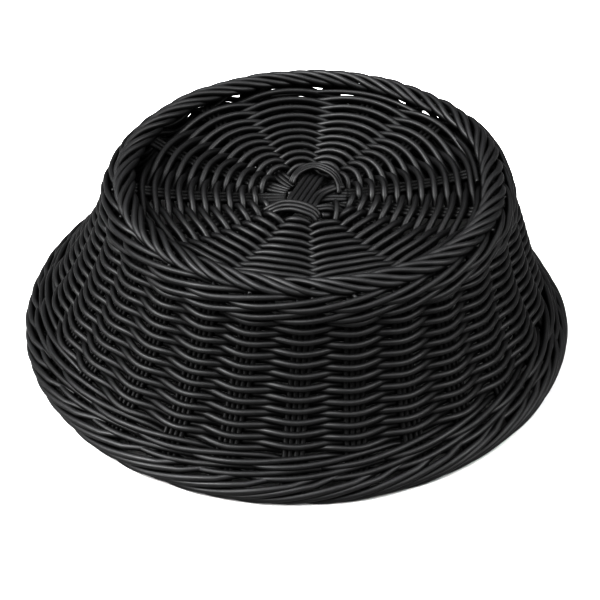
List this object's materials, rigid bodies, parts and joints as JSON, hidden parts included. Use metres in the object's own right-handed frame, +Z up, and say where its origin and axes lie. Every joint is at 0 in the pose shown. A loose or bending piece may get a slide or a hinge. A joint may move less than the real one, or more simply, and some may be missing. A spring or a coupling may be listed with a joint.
{
  "type": "woven fruit basket",
  "caption": "Round woven basket of black plastic strand with sloping sides, rolled rim, dished base and raised foot border, shown mouth down.",
  "frame": {"origin": "centre of the plane the rim border rests on, with the basket standing mouth down", "axes": "+Z up, out through the underside of the base; the basket in use is turned over, half a turn about X; -Y is the side seen from the front"},
  "size_m": [0.306, 0.3054, 0.102],
  "materials": {
    "stake_strand": "satin",
    "weaver_strand": "satin",
    "border_strand": "satin"
  },
  "bodies": {
    "root": {"rim_border": "border_strand", "rim_wale": "weaver_strand", "side_weave_1": "weaver_strand", "side_weave_2": "weaver_strand", "side_weave_3": "weaver_strand", "shoulder_wale": "weaver_strand", "foot_border": "border_strand", "base_weave_inner": "weaver_strand", "base_weave_outer": "weaver_strand", "base_core_upper": "stake_strand", "base_core_lower": "stake_strand", "base_binding_1": "weaver_strand", "base_binding_2": "weaver_strand", "side_stake_01": "stake_strand", "side_stake_02": "stake_strand", "side_stake_03": "stake_strand", "side_stake_04": "stake_strand", "side_stake_05": "stake_strand", "side_stake_06": "stake_strand", "side_stake_07": "stake_strand", "side_stake_08": "stake_strand", "side_stake_09": "stake_strand", "side_stake_10": "stake_strand", "side_stake_11": "stake_strand", "side_stake_12": "stake_strand", "side_stake_13": "stake_strand", "side_stake_14": "stake_strand", "side_stake_15": "stake_strand", "side_stake_16": "stake_strand", "side_stake_17": "stake_strand", "side_stake_18": "stake_strand", "side_stake_19": "stake_strand", "side_stake_20": "stake_strand", "side_stake_21": "stake_strand", "side_stake_22": "stake_strand", "side_stake_23": "stake_strand", "side_stake_24": "stake_strand", "side_stake_25": "stake_strand", "side_stake_26": "stake_strand", "side_stake_27": "stake_strand", "base_spoke_01": "stake_strand", "base_spoke_02": "stake_strand", "base_spoke_03": "stake_strand", "base_spoke_04": "stake_strand", "base_spoke_05": "stake_strand", "base_spoke_06": "stake_strand", "base_spoke_07": "stake_strand", "base_spoke_08": "stake_strand", "base_spoke_09": "stake_strand", "base_spoke_10": "stake_strand", "base_spoke_11": "stake_strand", "base_spoke_12": "stake_strand", "base_spoke_13": "stake_strand"}
  },
  "joints": []
}
